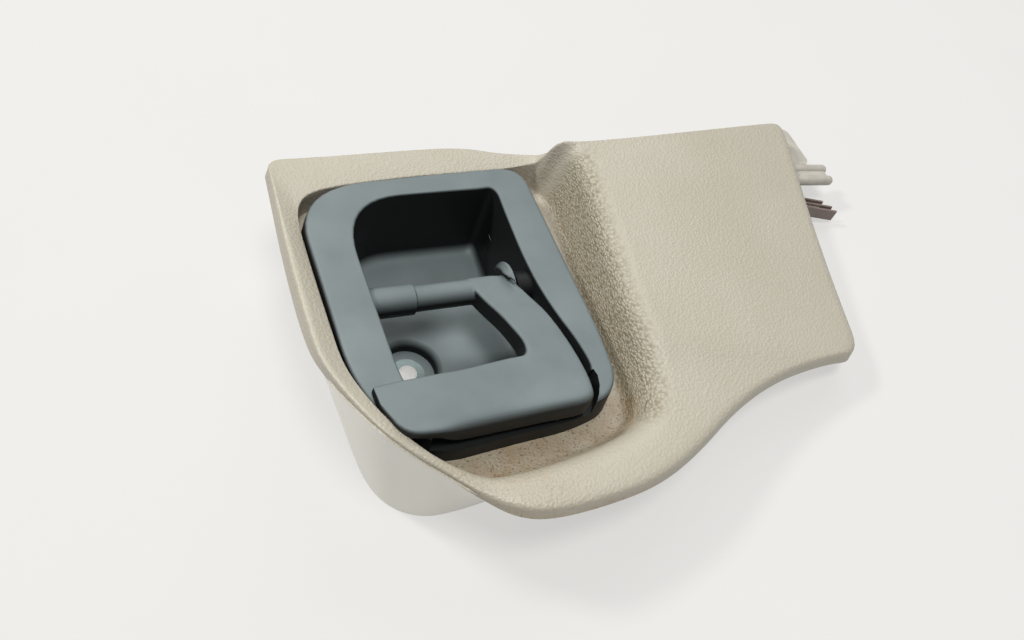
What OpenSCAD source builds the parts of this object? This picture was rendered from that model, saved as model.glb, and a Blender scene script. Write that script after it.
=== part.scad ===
/* [Resting pose] */
// Tilt of the handle's face as the trim panel lies on its back
rest_tilt = 14; // [12:0.5:16]
// Height of the handle face's centre above the surface it lies on
rest_height = 46; // [45:0.5:49]

/* [Trim panel] */
// Thickness of the moulded sheet
sheet_t = 2.5; // [2:0.1:3]
// Depth of the tray that the handle sits in, below the handle's face
tray_depth = 12; // [11:0.5:13]
// Height of the raised box's top above the handle's face, at its back edge
box_rise = 15; // [13:0.5:17]
// Fall of the box's top towards the front, in each millimetre
box_fall = 0.1; // [0.08:0.01:0.12]
// Thickness of the smooth skirt that stands under the left side
skirt_t = 2.2; // [1.8:0.1:2.8]

/* [Handle housing] */
// Wall of the housing
wall_t = 1.8; // [1.6:0.1:2.2]
// Depth of the finger bowl below the handle's face
bowl_depth = 33; // [31:0.5:34]
// Depth of the front ledge under the grip
ledge_depth = 6.5; // [6.4:0.1:8]
// Diameter of the pocket round the fixing screw
pocket_d = 19; // [17:0.5:20]
// Depth of that pocket below the bowl's floor
pocket_depth = 5; // [4:0.5:6]

/* [Pull lever] */
// Height of the grip's top above the handle's face
grip_rise = 5; // [4:0.5:6]
// Diameter of the lever's tube
tube_d = 8.8; // [8.4:0.1:9.4]
// Diameter of the fixed boss that the tube turns beside
boss_d = 10.4; // [10:0.1:10.8]
// Gap between the tube's ends and the housing's bosses
end_gap = 0.3; // [0.2:0.05:0.4]

/* [Pivot and cable side] */
// Diameter of the hinge pin
pin_d = 5; // [4.6:0.1:5.2]
// Running clearance of the pin in its bushes, on the radius
pin_clear = 0.05; // [0.03:0.01:0.08]
// Wall of the bushes
bush_t = 1.2; // [1:0.1:1.3]
// Distance from the pin to the cable nipple's seat
crank_len = 16; // [14:0.5:18]
// Diameter of the cable nipple's seat
nipple_d = 4.4; // [4:0.1:5]
// Diameter of the seat for the cable's ferrule
ferrule_d = 6.5; // [6:0.1:7]
// Wire of the return spring
spring_wire = 1; // [0.8:0.1:1]

/* [Fixings] */
// Outer diameter of the metal sleeve
sleeve_d = 12; // [11:0.5:13]
// Hole through the metal sleeve
sleeve_hole = 6.6; // [6.4:0.1:7]
// Length of the metal sleeve
sleeve_len = 7; // [6:0.5:7.5]
// Shank of the self-tapping screws
screw_d = 3; // [2.8:0.1:3.2]
// Head of the self-tapping screws
screw_head_d = 6; // [5.6:0.1:6.4]

/* [Hidden] */

// Where the handle face's centre rests, seen from the middle of the whole part's footprint.
rest_shift = [-62, 4, 0];

// The hinge pin's axis runs along x through this point of the handle's own frame.
pivot = [0, 7.5, -7.5];
beige = [0.72, 0.68, 0.60];
slate = [0.24, 0.30, 0.33];
steel = [0.72, 0.73, 0.74];
bronze = [0.35, 0.28, 0.22];
rubber = [0.08, 0.08, 0.08];

// Places along the pivot, and sizes that follow from the ones above.
boss_x0 = -27;
tube_x0 = -9;
tube_x1 = 27.2;
flange_d = 18.8;
flange_x0 = 24.6;
right_boss_x1 = 34.5;
crank_x0 = 35;
crank_x1 = 41.6;
crank_t = 1.6;
crank_x = crank_x1 - crank_t / 2;
crank_hub_d = 7;
clip_t = 0.8;
groove_x0 = crank_x1 + 0.1;
pin_x1 = groove_x0 + 2;
bush_d = pin_d + 2 * (pin_clear + bush_t);
spring_turns = 3.5;
spring_leg = 6;
spring_r = crank_hub_d / 2 + 0.3 + spring_wire / 2;
spring_peg = pivot + [0, spring_r + spring_wire / 2 + 1.2, -spring_leg + 1];
sleeve_at = [-7.4, -2];
ferrule_y = 36;
lug_x0 = 32.8;
lug_x1 = crank_x + ferrule_d / 2 + 1.6;
grip_t = 9.6;
stop_y = -43.5;
pocket_x0 = -21.5;
pocket_x1 = 38.3;
ledge_y1 = -37;
bowl_centre = [4, 5];
screw_places = [[-33.4, 36, 0], [-33.4, -12, 0], [38, 52.2, 0], [44.9, -20, 0]];
screw_pilot = screw_d - 0.6;
screw_depth = 7;
post_d = 5.2;
seat_z = 0.1 - tray_depth;
panel_radii = [10, 5, 2];
housing_radii = [4, 1.2, 5];
hole_x0 = -28;
hole_x1 = 43;
hole_y0 = -40.5;
hole_y1 = 49;

// Wing, prong and clip at the right end.
end_x = 160;
wing_w = 12;
wing_y1 = 61;
prong_y = 31.5;
prong_gap = 6;
prong_z = 8;
prong_rib = 4;
prong_len = 13;
clip_x0 = end_x - 10;
clip_y = 24;
clip_z = -2;
clip_h = 5;
clip_gap = 0.1;
clip_leaves = [[4.4, 19], [2.2, 22.5], [0, 24]];

// The skirt's outer face, from the back of the left side to under the front band.
// Each station is foot x and y in the resting frame, then the top in the handle's own frame.
skirt_stations = [
    [-41, 62, -44.6, 62, -3], [-41, 30, -46, 28, -3], [-42, 10, -46.6, 0, -2.5],
    [-42.5, -14, -46.5, -20, -2], [-40, -38, -38, -41, -1], [-28, -50, -28.6, -50.4, -5],
    [-12, -51.5, -17, -58, -9], [0, -51, -8, -62.5, -12], [8, -49, 1, -64, -13]];
function smooth_path(list, steps) = let (n = len(list)) concat([list[0]],
    [for (i = [1 : n - 2]) for (s = [0 : steps - 1])
        spline(list[i - 1], list[i], list[i + 1], s / steps)], [list[n - 1]]);

// Stations round the tray, anticlockwise from the middle of the right side.
// Each is foot x, foot y, edge x, edge y, edge z, lean, drop, flange, and how far the shoulder
// beside the foot lies below the edge; an undefined z is the box's top.
panel_stations = [
    [54, 0, end_x - 10, 0, undef, 6, 18, 0, 0],
    [56.5, 24, end_x - 2, 34, undef, 6, 20, 0, 0],
    [58, 36, end_x + 1.5, 48, undef, 6, 20.5, 0, 0],
    [58, 42, end_x + 3, 56.5, undef, 6, 20, 0, 0],
    [58, 45, end_x - 4, 56.5, undef, 6, 17, 5, 0],
    [57.5, 48, 115, 54.5, undef, 5, 15, 8, 0],
    [57, 51, 84, 53, undef, 4, 15, 8, 0],
    [56, 53, 68, 52.5, undef, 3, 15, 8, 0],
    [55, 54.5, 62, 54, 14, 2, 14, 8, 0],
    [54, 56.5, 58, 60, 2, 1.5, 5, 0, 2],
    [50, 57.6, 52, 62, 0, 1, 4.5, 0, 2.5],
    [40, 58, 40, 64, 0, 1, 4.5, 0, 3],
    [26, 58, 27, 68, 0, 1, 5, 0, 4],
    [3, 57.6, 3, 68, 0, 1, 5.5, 0, 4],
    [-18, 56, -19, 67.4, 0, 1, 5.5, 0, 4],
    [-28, 54.4, -32, 67, 0, 1, 6, 0, 4],
    [-36.2, 50.6, -44, 67, 0, 1, 6, 0, 4],
    [-40.2, 42.5, -45.6, 54, 0.4, 1, 6, 0, 4.4],
    [-40.8, 24, -47, 24, 1, 1, 6.5, 0, 4.5],
    [-41, -4, -47.5, -6, 2, 1, 6.5, 0, 4.5],
    [-43, -20, -47.6, -20, 4, 1, 5.5, 0, 2],
    [-38, -39.5, -39.5, -42, 5.5, 1, 5, 0, 0],
    [-27.5, -50, -29, -52, 1, 1, 5, 0, 0],
    [-16, -55, -19.5, -58.5, -3, 1.5, 5, 0, 0],
    [-6, -59.5, -10.5, -66.5, -5, 2, 5, 0, 0],
    [0, -59.3, -2, -72.5, -4, 3, 5, 0, 0],
    [10, -59, 8, -76, -3.5, 3.5, 5, 0, 0],
    [24, -57.4, 26, -76, -3, 4, 5, 0, 0],
    [36, -55, 46, -74, -2, 5, 5, 0, 0],
    [45.5, -52, 64, -67, -0.5, 6, 5, 0, 0],
    [50.5, -45.5, 82, -57, 1.5, 6, 5, 0, 0],
    [52, -36, 102, -50, 3.3, 6, 5, 0, 0],
    [52.6, -26, 125, -47.5, undef, 6, 5, 0, 0],
    [53.2, -18, end_x - 19.5, -48, undef, 6, 6, 0, 0],
    [53, -11, end_x - 16, -30, undef, 6, 13, 0, 0]];

// Stations round the housing: outer x and y, opening x and y.
housing_stations = [
    [48.2, 9, 32, 10], [48.2, 36, 33, 36], [48.2, 57, 33.8, 47.2], [26, 57, 27, 46.8],
    [12, 56.4, 20, 46.8], [-39.8, 53.4, -24.5, 46.5], [-39.8, 8, -24.5, -4],
    [-40.4, -29, -24.5, -28], [-24, -51.5, -20, -37], [8, -49, -2, -37], [28, -46.6, 22, -37],
    [47.4, -41.8, 38.6, -37], [48.2, -22, 38, -24], [48.2, -6, 34, -8]];

// Stations along the lever: inner x and y, outer x and y, top z, thickness, rounding of the outer top edge.
lever_stations = [
    [10.5, 8, 24.6, 8, -3.1, 7.8, 1], [11.5, 4, 26.8, 6, -3, 7.8, 1], [13.2, -1.5, 29.4, -1.5, -1.8, 8, 1.2],
    [15, -8.5, 31.4, -9, 0.4, 8, 1.5], [16, -16, 32.5, -20, 2.6, 8, 1.5], [16.8, -22, 33, -31, 4.2, 8.6, 1.5],
    [15.5, -27.6, 33.3, -41, 5, 9.4, 2.5], [10, -27.6, 32.4, -47.6, 5, 9.6, 4.5], [4, -28, 18, -47.6, 5, 9.6, 4.5],
    [-8, -29, -6, -48.2, 5, 9.6, 4.5], [-14, -29, -14, -48.6, 5, 9, 4], [-19, -29.2, -20, -48.8, 5, 4.3, 2],
    [-29, -29.5, -31, -47.5, 5, 4.3, 1.8], [-35.5, -30, -35, -37, 4.6, 3.8, 1.5]];

function wrap(i, n) = (i + n) % n;
function spline(a, b, c, t) = a * (1 - t) * (1 - t) / 2 + b * (0.5 + t - t * t) + c * t * t / 2;
function reversed(list) = [for (i = [len(list) - 1 : -1 : 0]) list[i]];
function flat(p) = [p[0], p[1]];
function toward(a, b) = (b - a) / norm(b - a);
function raised(p, z) = [p[0], p[1], z];

// One rounded corner of a broken line, and the whole line with its inner corners rounded.
function corner(a, b, c, r, n) =
    let (s = b + (a - b) * min(r / norm(a - b), 0.48), e = b + (c - b) * min(r / norm(c - b), 0.48))
    [for (j = [0 : n]) let (t = j / n) s * (1 - t) * (1 - t) + b * 2 * t * (1 - t) + e * t * t];
function rounded(line, radii, n) = concat([line[0]],
    [for (k = [1 : len(line) - 2]) each corner(line[k - 1], line[k], line[k + 1], radii[k - 1], n)],
    [line[len(line) - 1]]);
function rounded_loop(line, radii, n) = let (m = len(line))
    [for (k = [0 : m - 1]) each corner(line[wrap(k - 1, m)], line[k], line[wrap(k + 1, m)], radii[k], n)];

// A net's rows of points, made smooth from station to station.
function smooth_ring(net, steps) = let (n = len(net))
    [for (i = [0 : n - 1]) for (s = [0 : steps - 1])
        [for (v = [0 : len(net[i]) - 1])
            spline(net[wrap(i - 1, n)][v], net[i][v], net[wrap(i + 1, n)][v], s / steps)]];

// A solid skinned over closed loops of points, itself a ring or with two capped ends.
module skin(loops, ring) {
    n = len(loops);
    m = len(loops[0]);
    last = ring ? n - 1 : n - 2;
    sides = [for (i = [0 : last]) for (j = [0 : m - 1])
        let (a = i * m + j, b = i * m + wrap(j + 1, m), k = wrap(i + 1, n) * m)
        each [[a, k + j, b], [b, k + j, k + wrap(j + 1, m)]]];
    caps = ring ? [] : [[for (j = [0 : m - 1]) j], [for (j = [m - 1 : -1 : 0]) (n - 1) * m + j]];
    polyhedron([for (loop = loops) each loop], concat(sides, caps), convexity = 10);
}

module at_rest() {
    translate([rest_shift[0], rest_shift[1], rest_height]) rotate([0, rest_tilt, 0]) children();
}

module rod(d, x0, x1, at = pivot) {
    translate([x0, at[1], at[2]]) rotate([0, 90, 0]) cylinder(d = d, h = x1 - x0, $fn = 48);
}

// Trim panel.
function box_top(p) = box_rise - box_fall * (56 - p[1]);
function panel_front(s) = let (foot = [s[0], s[1]], edge = [s[2], s[3]],
        out = toward(foot, edge), crest = foot + s[5] * out,
        edge_z = s[4] == undef ? box_top(edge) : s[4],
        crest_z = s[4] == undef ? box_top(crest) : s[4] - s[8],
        low = edge_z - s[6], rim = edge + out * 1.2)
    [raised(foot * 0.55, -tray_depth), raised(foot, -tray_depth), raised(crest, crest_z),
        raised(edge, edge_z), raised(edge + out * 0.7, s[7] > 0 ? low : edge_z - (s[6] + sheet_t) / 2),
        raised(rim + [0, s[7]], low)];
function panel_back(p) = let (out = toward(flat(p[1]), flat(p[3])),
        shoulder = norm(flat(p[3]) - flat(p[2])), t = min(sheet_t, shoulder / 2 - 0.1), in_by = out * t,
        dip = max(0, p[3][2] - p[2][2]) * t / shoulder,
        flange = norm(flat(p[5]) - flat(p[4])) - 0.5, w = min(1, max(0, flange)))
    [p[0] - [0, 0, sheet_t], p[1] + concat(in_by, -sheet_t), p[2] + concat(in_by, -sheet_t),
        p[3] - concat(in_by, sheet_t + dip), p[4] - concat(in_by, sheet_t * w),
        p[5] - concat(in_by * (1 - w), sheet_t * w)];
function panel_loop(p) = let (lean = norm(flat(p[2]) - flat(p[1])),
        radii = concat(0.7 * lean, min(1.7 * lean, panel_radii[0]), panel_radii[1], panel_radii[2]))
    concat(rounded(p, radii, 3), reversed(rounded(panel_back(p), radii, 3)));

panel_rings = smooth_ring([for (s = panel_stations) panel_front(s)], 2);

module panel_sheet() {
    skin([for (p = panel_rings) panel_loop(p)], true);
}

// The space inside the tray's wall, where the housing stands.
module tray_space() {
    translate([0, 0, -tray_depth]) linear_extrude(3 * tray_depth) polygon([for (p = panel_rings) flat(p[1])]);
}

// The hole that the housing's bowl and crank pass through, with a notch for the lug, and the screw holes round it.
module panel_holes() {
    translate([0, 0, -tray_depth - 8]) {
        linear_extrude(20) rounded_rect(hole_x0, hole_y0, hole_x1, hole_y1, 6);
        translate([hole_x1 - 1, ferrule_y - 1, 0]) cube([lug_x1 + 1.4 - hole_x1, 5, 20]);
        for (at = screw_places) translate(at) cylinder(d = screw_d + 0.4, h = 12, $fn = 24);
    }
}

module rounded_rect(x0, y0, x1, y1, r) {
    polygon([for (c = [[x1 - r, y1 - r, 0], [x0 + r, y1 - r, 90], [x0 + r, y0 + r, 180], [x1 - r, y0 + r, 270]])
        for (a = [0 : 15 : 90]) [c[0] + r * cos(c[2] + a), c[1] + r * sin(c[2] + a)]]);
}

// The smooth skirt goes from the rim of the left side down to the surface below it.
function resting(p) = [rest_shift[0] + p[0] * cos(rest_tilt) + p[2] * sin(rest_tilt), rest_shift[1] + p[1],
    p[2] * cos(rest_tilt) - p[0] * sin(rest_tilt) + rest_height];
function inward(a, b) = [a[1] - b[1], b[0] - a[0], 0] / norm(flat(b) - flat(a)) * skirt_t;

module skirt() {
    foot = smooth_path([for (s = skirt_stations) rest_shift + [s[0], s[1], 0]], 3);
    top = smooth_path([for (s = skirt_stations) resting([s[2], s[3], s[4]])], 3);
    n = len(foot);
    skin([for (i = [0 : n - 1])
        let (a = max(i - 1, 0), b = min(i + 1, n - 1))
        [foot[i], foot[i] + inward(foot[a], foot[b]), top[i] + inward(top[a], top[b]), top[i]]], false);
}

// Locating prong of two ribs joined by a web, and the wing beside it.
module prong() {
    translate([end_x - 12, prong_y, prong_z]) rotate([0, 0, -5]) {
        for (y = [0, prong_gap]) translate([0, y, 0]) {
            rotate([0, 90, 0]) cylinder(d = prong_rib, h = 12 + prong_len, $fn = 32);
            translate([12 + prong_len, 0, 0]) sphere(d = prong_rib, $fn = 32);
        }
        translate([0, 0, -0.9]) cube([12 + prong_len, prong_gap, 1.8]);
    }
}

module wing() {
    translate([end_x, 0, prong_z - 4]) linear_extrude(2.2)
        rounded_rect(-6, prong_y + prong_gap + 3, wing_w, wing_y1, 3);
}

module kick_panel() {
    color(beige) difference() {
        union() {
            at_rest() panel_sheet();
            difference() {
                skirt();
                at_rest() tray_space();
            }
            at_rest() prong();
            at_rest() wing();
            clip_tongue();
        }
        at_rest() panel_holes();
        clip_slots();
    }
}

// Handle housing.
function housing_front(s) = let (rim = [s[0], s[1]], mouth = [s[2], s[3]],
        into = toward(rim, mouth))
    [raised(rim, seat_z), raised(rim + into, 0), raised(mouth, 0),
        raised(mouth + toward(mouth, bowl_centre) * 0.7, -bowl_depth),
        raised(mouth + (bowl_centre - mouth) * 0.4, -bowl_depth)];
function housing_back(p) = let (into = toward(flat(p[0]), flat(p[2])) * wall_t,
        in_bowl = toward(flat(p[3]), flat(p[4])) * wall_t)
    [p[0] + concat(into, 0), p[1] + concat(into, -wall_t), p[2] - concat(into, wall_t),
        p[3] - concat(in_bowl, wall_t), p[4] - [0, 0, wall_t]];
function housing_loop(p) = concat(rounded(housing_back(p), housing_radii, 3),
    reversed(rounded(p, housing_radii, 3)));

housing_rings = smooth_ring([for (s = housing_stations) housing_front(s)], 5);

module housing_shell() {
    skin([for (p = housing_rings) housing_loop(p)], true);
    translate([0, 0, -bowl_depth - wall_t]) linear_extrude(wall_t)
        polygon([for (p = housing_rings) flat(p[4] + (p[3] - p[4]) * 0.05)]);
}

// A post beside the hole runs up the outer wall only as far as the rail's rounding.
module screw_post(at) {
    top = at[0] > hole_x1 ? housing_radii[0] - 0.6 : wall_t - 0.2;
    translate([at[0], at[1], seat_z]) cylinder(d = post_d, h = -seat_z - top, $fn = 32);
}

// A lug under the right rail holds the ferrule of the cable's sheath.
module ferrule_lug() {
    translate([lug_x0, ferrule_y, pivot[2] - crank_len - 5.5]) cube([lug_x1 - lug_x0, 3, 5.5 + ferrule_d / 2 + 3]);
}

module handle_housing() {
    color(slate) at_rest() difference() {
        union() {
            difference() {
                housing_shell();
                lever_pocket();
            }
            ledge();
            rod(boss_d, boss_x0, tube_x0 - end_gap);
            rod(boss_d, tube_x1 + end_gap, right_boss_x1);
            translate([sleeve_at[0], sleeve_at[1], -bowl_depth - pocket_depth - sleeve_len])
                cylinder(d = pocket_d + 4, h = sleeve_len + pocket_depth - wall_t / 2, $fn = 64);
            for (at = screw_places) screw_post(at);
            ferrule_lug();
            rod(2, 31.8, crank_x0 + 2, spring_peg);
        }
        rod(bush_d, boss_x0 + 2, tube_x0 - end_gap + 1);
        rod(bush_d, tube_x1 + end_gap - 1, right_boss_x1 + 1);
        translate([sleeve_at[0], sleeve_at[1], -bowl_depth - pocket_depth])
            cylinder(d = pocket_d, h = 20, $fn = 64);
        translate([sleeve_at[0], sleeve_at[1], -bowl_depth - pocket_depth - sleeve_len - 1])
            cylinder(d = sleeve_d, h = sleeve_len + 2, $fn = 64);
        for (at = screw_places) translate([at[0], at[1], -tray_depth - 1])
            cylinder(d = screw_pilot, h = screw_depth + 1.5, $fn = 24);
        translate([crank_x, ferrule_y - 1, pivot[2] - crank_len]) rotate([-90, 0, 0])
            cylinder(d = ferrule_d, h = 5, $fn = 48);
    }
}

// The part of the front rail that the grip lies in.
module lever_pocket() {
    translate([0, 0, -ledge_depth]) linear_extrude(20)
        rounded_rect(pocket_x0, ledge_y1 - 30, pocket_x1, ledge_y1 + 2, 1);
}

module ledge() {
    side = ledge_depth + wall_t - 1;
    for (part = [[pocket_x0 - wall_t, ledge_y1 - 30, pocket_x1 + wall_t, wall_t],
            [pocket_x0 - wall_t, ledge_y1 - 3.5, pocket_x0, side],
            [pocket_x1, ledge_y1 - 3.5, pocket_x1 + wall_t, side]])
        translate([0, 0, -ledge_depth - wall_t]) linear_extrude(part[3]) intersection() {
            polygon([for (p = housing_rings) flat(p[1])]);
            translate([part[0], part[1]]) square([part[2] - part[0], ledge_y1 + 2 - part[1]]);
        }
}

// Pull lever: a tube on the pivot, a curved arm and a grip bar, moulded in one.
function lever_section(p) = let (inner = flat(p[0]), outer = flat(p[1]), top = p[0][2],
        low = top - p[2][2])
    rounded_loop([raised(inner, low), raised(inner, top), raised(outer, top), raised(outer, low)],
        [1.2, 1.5, p[2][1], 1.2], 3);

module lever_body() {
    n = len(lever_stations);
    net = [for (s = lever_stations) [[s[0], s[1], s[4]], [s[2], s[3], s[4]], [0, s[6], s[5]]]];
    rows = concat([net[0]], [for (i = [1 : n - 2]) for (t = [0 : 3])
        [for (v = [0 : 2]) spline(net[i - 1][v], net[i][v], net[i + 1][v], t / 4)]], [net[n - 1]]);
    skin([for (p = rows) reversed(lever_section(p))], false);
}

// A round flange at the tube's right end, beside the arm.
module pivot_flange() {
    thick = tube_x1 - flange_x0;
    translate([flange_x0, pivot[1], pivot[2]]) rotate([0, 90, 0]) rotate_extrude($fn = 72)
        polygon([[0, 0], [flange_d / 2 - 0.6, 0], [flange_d / 2, 0.6], [flange_d / 2, thick - 0.6],
            [flange_d / 2 - 0.6, thick], [0, thick]]);
}

module pull_lever() {
    color(slate) at_rest() difference() {
        union() {
            difference() {
                lever_body();
                rod(boss_d + 1.4, tube_x1, right_boss_x1);
            }
            rod(tube_d, tube_x0, tube_x1);
            pivot_flange();
        }
        rod(pin_d, tube_x0 - 1, tube_x1 + 1);
    }
}

module hinge_pin() {
    color(steel) at_rest() difference() {
        rod(pin_d, boss_x0 + 2.3, pin_x1);
        difference() {
            rod(pin_d + 2, groove_x0, groove_x0 + clip_t + 0.1);
            rod(pin_d - 1.2, groove_x0 - 1, groove_x0 + clip_t + 1);
        }
    }
}

module release_crank() {
    color(steel) at_rest() difference() {
        union() {
            rod(crank_hub_d, crank_x0, crank_x1);
            translate([crank_x1 - crank_t, 0, 0]) rotate([90, 0, 90]) linear_extrude(crank_t)
                union() {
                    translate([pivot[1], pivot[2]]) circle(d = crank_hub_d + 1, $fn = 40);
                    translate([pivot[1] - nipple_d * 0.8, pivot[2] - crank_len])
                        square([nipple_d * 1.6, crank_len]);
                    translate([pivot[1], pivot[2] - crank_len]) circle(d = nipple_d * 1.6, $fn = 40);
                }
        }
        rod(pin_d, crank_x0 - 1, crank_x1 + 1);
        rod(nipple_d, crank_x0 - 1, crank_x1 + 1, pivot - [0, 0, crank_len]);
    }
}

module pin_clip() {
    color(steel) at_rest() difference() {
        rod(pin_d + 3.4, groove_x0 + 0.05, groove_x0 + 0.05 + clip_t);
        rod(pin_d - 1.2, groove_x0 - 1, groove_x0 + 2);
        translate([groove_x0 - 1, pivot[1] - pin_d / 2 + 0.4, pivot[2]]) cube([4, pin_d - 0.8, 8]);
    }
}

module bush(x0, x1) {
    color([0.85, 0.84, 0.80]) at_rest() difference() {
        rod(bush_d, x0, x1);
        rod(pin_d + pin_clear * 2, x0 - 1, x1 + 1);
    }
}

module left_bush() {
    bush(boss_x0 + 2, tube_x0 - end_gap);
}

module right_bush() {
    bush(tube_x1 + end_gap, right_boss_x1);
}

// The torsion spring's coil lies round the crank's hub.
module return_spring() {
    x0 = crank_x0 + spring_wire / 2 + 0.1;
    coil = [for (a = [0 : 20 : 360 * spring_turns])
        [x0 + a / 360 * (spring_wire + 0.06), pivot[1] + spring_r * cos(a), pivot[2] + spring_r * sin(a), a]];
    last = coil[len(coil) - 1];
    path = concat([coil[0] - [0, 0, spring_leg, 0]], coil, [last - [0, 0, spring_leg, 0]]);
    color(steel) at_rest() skin([for (p = path)
        [for (b = [0 : 60 : 300]) [p[0] + spring_wire / 2 * sin(b),
            p[1] + spring_wire / 2 * cos(b) * cos(p[3]), p[2] + spring_wire / 2 * cos(b) * sin(p[3])]]], false);
}

module screw_sleeve() {
    color(steel) at_rest() translate([sleeve_at[0], sleeve_at[1], -bowl_depth - pocket_depth - sleeve_len])
        difference() {
            cylinder(d = sleeve_d, h = sleeve_len + 0.2, $fn = 64);
            translate([0, 0, -1]) cylinder(d = sleeve_hole, h = sleeve_len + 4, $fn = 48);
        }
}

module bump_stop(x) {
    color(rubber) at_rest() translate([x, stop_y, -ledge_depth])
        cylinder(d = 6, h = ledge_depth + grip_rise - grip_t - 0.3, $fn = 32);
}

module left_bump_stop() {
    bump_stop(-10);
}

module right_bump_stop() {
    bump_stop(22);
}

// Pan-head screws come up through the tray's floor into the housing's posts.
module housing_screw(at) {
    color(steel) at_rest() translate([at[0], at[1], -tray_depth - sheet_t]) {
        cylinder(d = screw_d - 0.6, h = sheet_t + screw_depth, $fn = 24);
        translate([0, 0, -2]) difference() {
            cylinder(d = screw_head_d, h = 2, $fn = 32);
            for (a = [0, 90]) rotate(a) translate([-1.6, -0.4, -1]) cube([3.2, 0.8, 2.2]);
        }
    }
}

module housing_screw_1() {
    housing_screw(screw_places[0]);
}

module housing_screw_2() {
    housing_screw(screw_places[1]);
}

module housing_screw_3() {
    housing_screw(screw_places[2]);
}

module housing_screw_4() {
    housing_screw(screw_places[3]);
}

// Spring-steel retaining clip: three leaves folded from one strip.
module at_clip() {
    at_rest() translate([clip_x0, clip_y, clip_z]) rotate([0, 0, -18]) children();
}

module panel_clip() {
    color(bronze) at_clip() {
        for (leaf = clip_leaves) translate([0, leaf[0], 0]) cube([leaf[1], clip_t, clip_h]);
        cube([clip_t, clip_leaves[0][0] + clip_t, clip_h]);
    }
}

// Slots for the clip's leaves through the panel's right wall, and the tongue between two of them.
module clip_slots() {
    at_clip() for (leaf = clip_leaves) translate([2, leaf[0] - clip_gap, -clip_gap])
        cube([leaf[1], clip_t + 2 * clip_gap, clip_h + 2 * clip_gap]);
}

module clip_tongue() {
    at_clip() translate([3, clip_t + clip_gap, 1]) cube([14, clip_leaves[1][0] - clip_t - 2 * clip_gap, 3]);
}

kick_panel();
handle_housing();
pull_lever();
hinge_pin();
release_crank();
pin_clip();
left_bush();
right_bush();
return_spring();
screw_sleeve();
left_bump_stop();
right_bump_stop();
housing_screw_1();
housing_screw_2();
housing_screw_3();
housing_screw_4();
panel_clip();
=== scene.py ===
import math

import bmesh
import bpy
import numpy as np
from mathutils import Matrix, Vector


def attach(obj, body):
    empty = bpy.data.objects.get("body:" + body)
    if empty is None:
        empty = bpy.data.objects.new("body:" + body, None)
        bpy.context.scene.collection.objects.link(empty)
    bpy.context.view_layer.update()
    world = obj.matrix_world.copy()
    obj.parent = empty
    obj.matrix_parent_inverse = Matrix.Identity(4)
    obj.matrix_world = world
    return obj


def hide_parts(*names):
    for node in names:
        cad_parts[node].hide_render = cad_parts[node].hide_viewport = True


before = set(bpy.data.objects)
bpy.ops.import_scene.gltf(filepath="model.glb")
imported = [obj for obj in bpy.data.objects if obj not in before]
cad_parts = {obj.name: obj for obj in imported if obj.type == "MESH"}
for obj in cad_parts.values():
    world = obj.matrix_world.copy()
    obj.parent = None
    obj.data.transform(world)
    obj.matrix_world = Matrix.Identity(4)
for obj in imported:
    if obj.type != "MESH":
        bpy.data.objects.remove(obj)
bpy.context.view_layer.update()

# Sizes are in millimetres and angles in degrees. The handle has a frame of its own: x runs right,
# y back and z out of the bezel's face, which lies at z = 0. REST sets that frame on the ground.
MM = 0.001
HANDLE_AT = (-62, 4, 46)
HANDLE_TILT = 14
REST = Matrix.Translation(HANDLE_AT) @ Matrix.Rotation(math.radians(HANDLE_TILT), 4, "Y")

# Trim panel.
TRAY_DEPTH = 12
BOX_RISE = 15
BOX_FALL = 0.1
BOX_BACK_Y = 56
SHEET_T = 2.5
THIN_SHEET_T = 1.3
SKIRT_T = 2.2
HOLE = (-28, -40.5, 43, 49)
HOLE_R = 6
FLOOR_START = 0.55
FOOT_ROUND = 0.7
CREST_ROUND = 1.7
CREST_R = 7.5
LIP_R = 2
LIP_TURN = 0.6
LIP_WIDTH = 0.5
SHEET_GAP = 0.1

# Housing: bezel, bowl, bosses, pocket, ledge, screw posts and the lug for the cable's ferrule.
WALL_T = 1.8
SEAT_Z = 0.1 - TRAY_DEPTH
BOWL_DEPTH = 33
BOWL_CENTRE = np.array([4.0, 5.0])
BOWL_DRAFT = 0.7
BOWL_FLOOR_REACH = 0.4
BEZEL_ROUNDS = (1.8, 1.2, 5)
PIVOT = (7.5, -7.5)
BOSS_D = 10.4
LEFT_BOSS_X0 = -27
RIGHT_BOSS_X1 = 34.5
BOSS_END_T = 2
BUSH_D = 7.5
SLEEVE_AT = (-7.4, -2)
SLEEVE_D = 12
SLEEVE_LEN = 7
SLEEVE_CUT_TOP = -30
POCKET_D = 19
POCKET_DEPTH = 5
POCKET_WALL = 2
LEDGE_DEPTH = 6.5
LEDGE_X = (-21.5, 38.3)
LEDGE_Y = (-67, -35)
NOTCH_BACK_Y = -34
RIB_FRONT_Y = -40.5
RIB_TOP = -1
TOE_TOP = -0.9
SCREWS = [(-33.4, 36), (-33.4, -12), (38, 52.2), (44.9, -20)]
POST_D = 5.2
POST_TOP = -1.6
RAIL_POST_TOP = -3.4
LUG = ((32.8, 36, -29), (45.65, 39, -17.25))
FERRULE = (40.8, -23.5, 6.5)
FERRULE_CUT_Y = (30, 50)
PEG_AT = (13.8, -12.5)
PEG_D = 2
PEG_X = (31.8, 37)

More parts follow.
